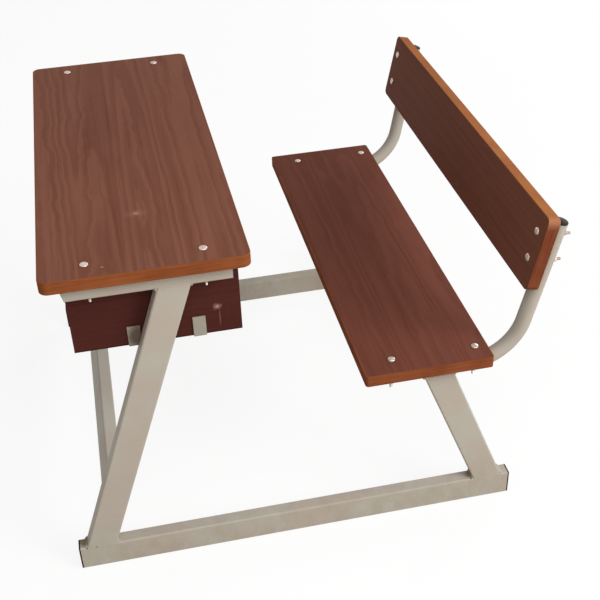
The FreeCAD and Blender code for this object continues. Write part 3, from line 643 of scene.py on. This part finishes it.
# Rings of points made into a skin: closed at both ends, or joined end to end
def ringsMesh(name, rings, joined=False):
    edit = bmesh.new()
    loops = [[edit.verts.new(point) for point in ring] for ring in rings]
    around = len(loops[0])
    for lower, upper in zip(loops, loops[1:] + (loops[:1] if joined else [])):
        for k in range(around):
            edit.faces.new((lower[k], lower[(k + 1) % around], upper[(k + 1) % around], upper[k]))
    if not joined:
        edit.faces.new(list(reversed(loops[0])))
        edit.faces.new(loops[-1])
    bmesh.ops.recalc_face_normals(edit, faces=edit.faces)
    return meshFrom(edit, name)


def ringPoints(radii, heights):
    turns = [2 * math.pi * k / len(radii) for k in range(len(radii))]
    return [(r * math.cos(turn), r * math.sin(turn), z) for r, turn, z in zip(radii, turns, heights)]


def evenRing(radius, height, around):
    return ringPoints([radius] * around, [height] * around)


def boltMesh(length):
    shape = boltShape
    around, shank, head, rim = shape["around"], shape["shank"], shape["head"], shape["rim"]
    rings = []
    steps = round(shape["threadLength"] / shape["pitch"] * shape["stepsInTurn"])
    for k in range(steps + 1):
        height = -length + shape["threadLength"] * k / steps
        tip = min(1.0, (k + 2) / shape["tipSteps"])  # the tip is chamfered
        widest = shank * (shape["tipShare"] + (1 - shape["tipShare"]) * tip)
        waves = [(height / shape["pitch"] - j / around) % 1 for j in range(around)]
        radii = [min(shank - shape["threadDepth"] * abs(2 * wave - 1), widest) for wave in waves]
        rings.append(ringPoints(radii, [height] * around))
    plainFrom = -length + shape["threadLength"] + shape["threadEnd"]
    ease = shape["rimEase"]
    outline = [(shank, plainFrom), (shank, 0), (head - ease, 0), (head, ease), (head, rim)]
    for k in range(1, shape["domeSteps"]):
        angle = k / shape["domeSteps"] * math.pi / 2
        outline.append((head * math.cos(angle) ** shape["domeFullness"],
                        rim + (shape["dome"] - rim) * math.sin(angle)))
    outline.append((shape["domeTop"], shape["dome"]))
    rings += [evenRing(radius, height, around) for radius, height in outline]
    return ringsMesh("bolt", rings)


def nutMesh():
    shape = nutShape
    around, high, ease = shape["around"], shape["height"], shape["boreEase"]
    half = shape["flats"] / 2
    face = half * shape["faceShare"]
    turns = [2 * math.pi * k / around for k in range(around)]
    hexRadii = [half / math.cos((turn % (math.pi / 3)) - math.pi / 6) for turn in turns]
    chamfers = [(radius - face) * math.tan(shape["chamfer"]) for radius in hexRadii]
    bore, wide = shape["bore"], shape["bore"] + ease
    rings = [evenRing(bore, ease, around), evenRing(wide, 0, around), evenRing(face, 0, around),
             ringPoints(hexRadii, chamfers), ringPoints(hexRadii, [high - drop for drop in chamfers]),
             evenRing(face, high, around), evenRing(wide, high, around), evenRing(bore, high - ease, around)]
    return ringsMesh("nut", rings, joined=True)


# Copies of one fastener on points, each turned to the direction stored at its point
def fastenerTree():
    tree, start, end = newTree("fasteners", fastener="Object", turnSpread="Float", seed="Int",
                               finish="Material")
    source = addNode(tree, "GeometryNodeObjectInfo", None, {"Object": start.outputs["fastener"]})
    outward = addNode(tree, "GeometryNodeInputNamedAttribute", {"data_type": "FLOAT_VECTOR"}, {
        "Name": "outward"}).outputs["Attribute"]
    facing = addNode(tree, "FunctionNodeAlignRotationToVector", {"axis": "Z"}, {"Vector": outward}).outputs[0]
    spots = addNode(tree, "GeometryNodeMeshToPoints", None, {0: start.outputs[0]}).outputs[0]
    copies = addNode(tree, "GeometryNodeInstanceOnPoints", None, {
        "Points": spots, "Instance": source.outputs["Geometry"], "Rotation": facing}).outputs[0]
    spin = addNode(tree, "FunctionNodeRandomValue", {"data_type": "FLOAT"}, {
        2: 0.0, 3: start.outputs["turnSpread"], "Seed": start.outputs["seed"]})  # 2 is the least, 3 the most
    turn = addNode(tree, "ShaderNodeCombineXYZ", None, {"Z": spin.outputs[1]}).outputs[0]
    turned = addNode(tree, "GeometryNodeRotateInstances", None, {0: copies, "Rotation": turn}).outputs[0]
    endTree(tree, turned, start, end)
    return tree


# Where the bolts go: through the desktop, the seat and the backrest
boltPlaces = {"deskFront": 84 * mm, "deskRear": 82 * mm, "seatFront": 65 * mm, "seatRear": 27 * mm}
backBase = Vector((backBandHigh[0] - backShape["width"] * math.sin(backShape["lean"]), 0,
                   backShape["baseHeight"]))
backUp = Vector((math.sin(backShape["lean"]), 0, math.cos(backShape["lean"])))
backFront = Vector((-math.cos(backShape["lean"]), 0, math.sin(backShape["lean"])))


def backSpots(out):
    spots = []
    for sideName, side in sides:
        for rise in (backShape["boltRise"]["upper"], backShape["boltRise"][sideName]):
            middle = backBase + backUp * rise - backFront * tubeShape["radius"]
            spread = (middle.z - tubeShape["middleHeight"]) * math.tan(uprightShape["splay"])
            place = backBase + backUp * rise + backFront * out
            place.y = side * (frameShape["middleY"] + spread)
            spots.append(place)
    return spots


def flatSpots(xs, height):
    return [Vector((x, side * frameShape["middleY"], height)) for x in xs for _, side in sides]


up = Vector((0, 0, 1))
nutHeight = nutShape["height"]
tubeUnder = tubeShape["middleHeight"] - tubeShape["radius"]
deskXs = (deskLow[0] + boltPlaces["deskFront"], deskHigh[0] - boltPlaces["deskRear"])
seatXs = (seatLow[0] + boltPlaces["seatFront"], seatHigh[0] - boltPlaces["seatRear"])
fastenerSets = [
    ("desktop_bolts", boltMesh(boltShape["length"]["desktop"]), flatSpots(deskXs, deskHigh[2]), up),
    ("desktop_nuts", nutMesh(), flatSpots(deskXs, frameShape["armUnder"] - nutHeight), up),
    ("seat_bolts", boltMesh(boltShape["length"]["seat"]), flatSpots(seatXs, seatHigh[2]), up),
    ("seat_nuts", nutMesh(), flatSpots(seatXs, tubeUnder - nutHeight), up),
    ("backrest_bolts", boltMesh(boltShape["length"]["backrest"]), backSpots(frameShape["boardThickness"]),
     backFront),
    ("backrest_nuts", nutMesh(), backSpots(-2 * tubeShape["radius"] - nutHeight), backFront),
]
fasten = fastenerTree()
for seed, (nodeName, mesh, spots, outward) in enumerate(fastenerSets, start=fastenerLook["firstSeed"]):
    sample = bpy.data.objects.new(nodeName + "Sample", sharpened(mesh, fastenerLook["sharpFrom"]))
    points = pathMesh(nodeName + "Spots", [([place], False) for place in spots])
    for entry in points.attributes.new("outward", "FLOAT_VECTOR", "POINT").data:
        entry.vector = outward
    made = runTree(nodeName, points, fasten, {
        "fastener": sample, "turnSpread": fastenerLook["turnSpread"], "seed": seed, "finish": finish["zinc"]})
    bpy.data.objects.remove(sample)
    made = sharpened(made, fastenerLook["sharpFrom"])
    addPiece(nodeName + "Made", made, finish["zinc"], [nodeName])
print("fastener sets made:", len(fastenerSets))


# Weld beads along the seams of the frame. The outer faces are flush and ground smooth.

weldShape = {
    "radius": 4.2 * mm, "plateRadius": 0.9 * mm, "step": 2.8 * mm, "ripple": 0.2, "seed": 3.0,
    "pointsInStep": 5.0, "noiseScale": 160.0, "sidesAround": 10, "sharpFrom": math.radians(60),
    "inside": 1 * mm,  # how far a seam lies inside the tube's outline
    "saddleInside": 0.8 * mm, "saddleReach": 0.985,
}
legLean = {"desk_leg": math.radians(19.1), "seat_leg": math.radians(21.6)}
plateShape = {"slant": math.radians(14), "height": 40 * mm, "thickness": 2 * mm}

# The corners that a seam goes round: their signs across and along, and the arc in degrees
allRound = ((1, 1, 0, 90), (-1, 1, 90, 180), (-1, -1, 180, 270), (1, -1, 270, 360))
notOutside = ((1, -1, 330, 360), (1, 1, 0, 90), (-1, 1, 90, 180), (-1, -1, 180, 210))

# A flush fill's outline: how deep it lies and how far it reaches from the joint
fillShape = {
    "outline": [(4 * mm, 0), (0.5 * mm, -0.6 * mm), (-0.04 * mm, 0.3 * mm), (-0.04 * mm, 4.2 * mm),
                (0.4 * mm, 4.8 * mm), (4 * mm, 4.5 * mm)],
    "shorter": 1.5 * mm, "sharpFrom": math.radians(50),
}


# A weld bead: a ring swept along the seam, its radius rippled by the welder's steps
def beadTree():
    tree, start, end = newTree("weldBead", beadRadius="Float", stepLength="Float", rippleShare="Float",
                               seed="Float", finish="Material")
    line = addNode(tree, "GeometryNodeMeshToCurve", None, {0: start.outputs[0]}).outputs[0]
    spacing = calculate(tree, "DIVIDE", start.outputs["stepLength"], weldShape["pointsInStep"])
    fine = addNode(tree, "GeometryNodeResampleCurve", {"mode": "LENGTH"}, {
        0: line, "Length": spacing}).outputs[0]
    run = addNode(tree, "GeometryNodeSplineParameter").outputs["Length"]
    waveShare = calculate(tree, "FRACT", calculate(tree, "DIVIDE", run, start.outputs["stepLength"]))
    place = addNode(tree, "GeometryNodeInputPosition").outputs[0]
    noise = addNode(tree, "ShaderNodeTexNoise", {"noise_dimensions": "4D"}, {
        "Vector": place, "W": start.outputs["seed"], "Scale": weldShape["noiseScale"]}).outputs[0]
    ripple = calculate(tree, "SUBTRACT", calculate(tree, "ADD", waveShare, noise), 1.0)
    swing = calculate(tree, "MULTIPLY", ripple, start.outputs["rippleShare"])
    ring = addNode(tree, "GeometryNodeCurvePrimitiveCircle", None, {
        "Resolution": weldShape["sidesAround"], "Radius": start.outputs["beadRadius"]}).outputs[0]
    bead = addNode(tree, "GeometryNodeCurveToMesh", None, {
        0: fine, 1: ring, "Scale": calculate(tree, "ADD", swing, 1.0), "Fill Caps": True}).outputs[0]
    endTree(tree, bead, start, end)
    return tree


# Points round a rectangle with rounded corners, in the plane of two directions
def seam(centre, across, along, width, depth, corners=allRound, steps=6):
    points = []
    radius = frameShape["tubeCorner"]
    for signAcross, signAlong, first, last in corners:
        middle = (centre + across * (signAcross * (width / 2 - radius))
                  + along * (signAlong * (depth / 2 - radius)))
        for k in range(steps + 1):
            angle = math.radians(first + (last - first) * k / steps)
            points.append(middle + across * (radius * math.cos(angle)) + along * (radius * math.sin(angle)))
    return points


# Where a leg stands on its foot rail, how far it leans for each step up, and its width along the rail
def legLine(sideName, leg):
    low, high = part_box(sideName + "_" + leg)
    width = frameShape["tubeWidth"] / math.cos(legLean[leg])
    slope = math.tan(legLean[leg]) * (1 if leg == "desk_leg" else -1)
    footX = low[0] + width / 2 if slope > 0 else high[0] - width / 2
    return footX, slope, width


def legSeams(sideName, side):
    seams = []
    middleY = side * frameShape["middleY"]
    railTop = frameShape["railTop"]
    legHeight = frameShape["armUnder"] - railTop
    depth = frameShape["tubeDepth"]
    alongRail = Vector((1, 0, 0))
    inward = Vector((0, -side, 0))
    for leg in legLean:
        footX, slope, width = legLine(sideName, leg)
        foot = Vector((footX, middleY, railTop))
        ends = [foot]
        if leg == "desk_leg":
            ends.append(foot + Vector((slope * legHeight, 0, legHeight)))
        seams += [(seam(end, alongRail, inward, width, depth - weldShape["inside"], notOutside), False)
                  for end in ends]
        if leg == "seat_leg":  # its upper end is a saddle, cut to the round tube
            saddle = []
            for point in seam(foot, alongRail, inward, width, depth - weldShape["saddleInside"], steps=8):
                offset = min(abs(point.y - middleY), tubeShape["radius"] * weldShape["saddleReach"])
                height = tubeShape["middleHeight"] - math.sqrt(tubeShape["radius"] ** 2 - offset ** 2)
                saddle.append(Vector((point.x + slope * (height - railTop), point.y, height)))
            seams.append((saddle, True))
    return seams


def barSeam(side):
    low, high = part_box("footrest_bar")
    innerY = side * (frameShape["middleY"] - frameShape["tubeDepth"] / 2)
    centre = Vector(((low[0] + high[0]) / 2, innerY, (low[2] + high[2]) / 2))
    lean = legLean["desk_leg"]
    along = Vector((math.sin(lean), 0, math.cos(lean)))
    across = Vector((math.cos(lean), 0, -math.sin(lean)))
    return seam(centre, across, along, frameShape["tubeDepth"], frameShape["tubeWidth"]), True


def plateSeam(sideName, side):
    low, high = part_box(sideName + "_arm_end_plate")
    slant = plateShape["slant"]
    inside = weldShape["inside"]
    length = plateShape["height"] / math.cos(slant)
    down = Vector((math.sin(slant), 0, -math.cos(slant)))
    top = Vector((low[0] + plateShape["thickness"], side * frameShape["middleY"], high[2]))
    return seam(top + down * (length / 2), down, Vector((0, 1, 0)), length - inside,
                frameShape["tubeDepth"] - inside), True


# On the outer face each joint is filled and ground flush: a strip over the tubes' rounded corners
def flushFills(sideName, side):
    edit = bmesh.new()
    outer = side * (frameShape["middleY"] + frameShape["tubeDepth"] / 2)
    railTop = frameShape["railTop"]
    joints = [("desk_leg", railTop, -1), ("desk_leg", frameShape["armUnder"], 1), ("seat_leg", railTop, -1)]
    for leg, level, towards in joints:
        footX, slope, width = legLine(sideName, leg)
        middleX = footX + slope * (level - railTop)
        halfLength = width / 2 - fillShape["shorter"]
        outline = [(inset, towards * reach) for inset, reach in fillShape["outline"]]
        ends = []
        for end in (-halfLength, halfLength):
            ends.append([edit.verts.new((middleX + end + slope * rise, outer - side * inset, level + rise))
                         for inset, rise in outline])
        count = len(outline)
        for k in range(count):
            edit.faces.new((ends[0][k], ends[0][(k + 1) % count], ends[1][(k + 1) % count], ends[1][k]))
        edit.faces.new(ends[0])
        edit.faces.new(list(reversed(ends[1])))
    bmesh.ops.recalc_face_normals(edit, faces=edit.faces)
    return meshFrom(edit, sideName + "FlushFills")


beads = beadTree()
for sideName, side in sides:
    fills = sharpened(flushFills(sideName, side), fillShape["sharpFrom"])
    addPiece(sideName + "_flushWelds", fills, finish["paint"])
    for part, lines, radius in (
            ("frameWelds", legSeams(sideName, side) + [barSeam(side)], weldShape["radius"]),
            ("plateWeld", [plateSeam(sideName, side)], weldShape["plateRadius"])):
        made = runTree(sideName + part, pathMesh(part, lines), beads, {
            "beadRadius": radius, "stepLength": weldShape["step"], "rippleShare": weldShape["ripple"],
            "seed": weldShape["seed"] + side, "finish": finish["paint"]})
        made = sharpened(made, weldShape["sharpFrom"])
        addPiece(sideName + "_" + part, made, finish["paint"])
print("welds laid")


# Floor, light and camera

lampLook = {
    "key": {"power": 360.0, "size": 4.0, "place": (4.7, -4.2, 3.9)},
    "near": {"power": 21.0, "size": 1.4, "place": (-0.2, -2.2, 2.4)},
    "far": {"power": 90.0, "size": 2.5, "place": (4.0, 4.0, 2.2)},
}
lampTarget = (0.0, 0.0, 0.4)
roomLook = {
    "light": (1.0, 0.985, 0.965, 1.0), "lightStrength": 0.42, "seen": (1, 1, 1, 1), "seenStrength": 0.92,
    "floor": (1, 1, 1, 1), "mottle": (0.98, 0.98, 0.97, 1), "mottleScale": 3, "mottleShare": 0.3,
    "floorBounce": (0.52, 0.48, 0.42, 1.0), "floorGlow": 0.85, "floorRoughness": 0.9, "floorGloss": 0.1,
    "floorReach": 60.0,
}
cameraFit = {  # where the photograph's perspective puts it
    "place": (deskLow[0] + 159.49 * mm, -2083.74 * mm, 1750.46 * mm),
    "yaw": math.radians(-10.47), "pitch": math.radians(34.56), "roll": math.radians(-2.51),
    "sensor": 36.0, "lens": 63.277, "shift": (0.0107, -0.0018),
}


def areaLight(name, power, size, place):
    lamp = bpy.data.lights.new(name, "AREA")
    lamp.energy = power
    lamp.shape = "DISK"
    lamp.size = size
    thing = addObject(name, lamp)
    thing.location = place
    thing.rotation_euler = (Vector(lampTarget) - Vector(place)).to_track_quat("-Z", "Y").to_euler()
    return thing


# 1 for what the camera sees, straight or in a reflection, and 0 for light that falls on the desk
def seenByCamera(tree):
    path = addNode(tree, "ShaderNodeLightPath").outputs
    return strongest(tree, path["Is Camera Ray"], path["Is Transmission Ray"], path["Is Glossy Ray"])


def makeWorld():
    world = bpy.data.worlds.new("softRoom")
    world.use_nodes = True
    tree = world.node_tree
    tree.nodes.clear()
    soft, white = [addNode(tree, "ShaderNodeBackground", None, {
        "Color": roomLook[name], "Strength": roomLook[name + "Strength"]}).outputs[0]
        for name in ("light", "seen")]
    mixed = addNode(tree, "ShaderNodeMixShader", None, {0: seenByCamera(tree), 1: soft, 2: white}).outputs[0]
    addNode(tree, "ShaderNodeOutputWorld", None, {"Surface": mixed})
    bpy.context.scene.world = world


def makeFloor():
    material, tree, shader, place = newMaterial("paleFloor")
    mottle = stretchedNoise(tree, place, roomLook["mottleScale"])
    share = calculate(tree, "MULTIPLY", mottle, roomLook["mottleShare"])
    colour = blend(tree, share, roomLook["floor"], roomLook["mottle"])
    colour = blend(tree, seenByCamera(tree), roomLook["floorBounce"], colour)
    tree.links.new(colour, shader.inputs["Base Color"])
    shader.inputs["Roughness"].default_value = roomLook["floorRoughness"]
    shader.inputs["Specular IOR Level"].default_value = roomLook["floorGloss"]
    glow = addNode(tree, "ShaderNodeEmission", None, {"Color": (1, 1, 1, 1), "Strength": 1.0}).outputs[0]
    seen = calculate(tree, "MULTIPLY", seenByCamera(tree), roomLook["floorGlow"])
    mixed = addNode(tree, "ShaderNodeMixShader", None, {0: seen, 1: shader.outputs[0], 2: glow}).outputs[0]
    tree.links.new(mixed, tree.nodes["Material Output"].inputs["Surface"])
    mesh = bpy.data.meshes.new("floor")
    reach = roomLook["floorReach"]
    corners = [(-reach, -reach, 0), (reach, -reach, 0), (reach, reach, 0), (-reach, reach, 0)]
    mesh.from_pydata(corners, [], [(0, 1, 2, 3)])
    mesh.materials.append(material)
    return addObject("floor", mesh)


def makeCamera():
    yaw, pitch, roll = cameraFit["yaw"], cameraFit["pitch"], cameraFit["roll"]
    ahead = Vector((-math.sin(yaw) * math.cos(pitch), math.cos(yaw) * math.cos(pitch), -math.sin(pitch)))
    level = Vector((math.cos(yaw), math.sin(yaw), 0))
    upward = level.cross(ahead)
    right = level * math.cos(roll) + upward * math.sin(roll)
    above = upward * math.cos(roll) - level * math.sin(roll)
    lens = bpy.data.cameras.new("photoCamera")
    lens.sensor_width = cameraFit["sensor"]
    lens.lens = cameraFit["lens"]
    lens.shift_x, lens.shift_y = cameraFit["shift"]
    camera = addObject("photoCamera", lens)
    turned = Matrix((right, above, -ahead)).transposed().to_4x4()
    camera.matrix_world = Matrix.Translation(cameraFit["place"]) @ turned
    bpy.context.scene.camera = camera
    return camera


makeWorld()
lamps = [areaLight(name + "Light", **look) for name, look in lampLook.items()]
makeFloor()
makeCamera()
bpy.context.scene.view_settings.view_transform = "Standard"
print("floor, light and camera set")
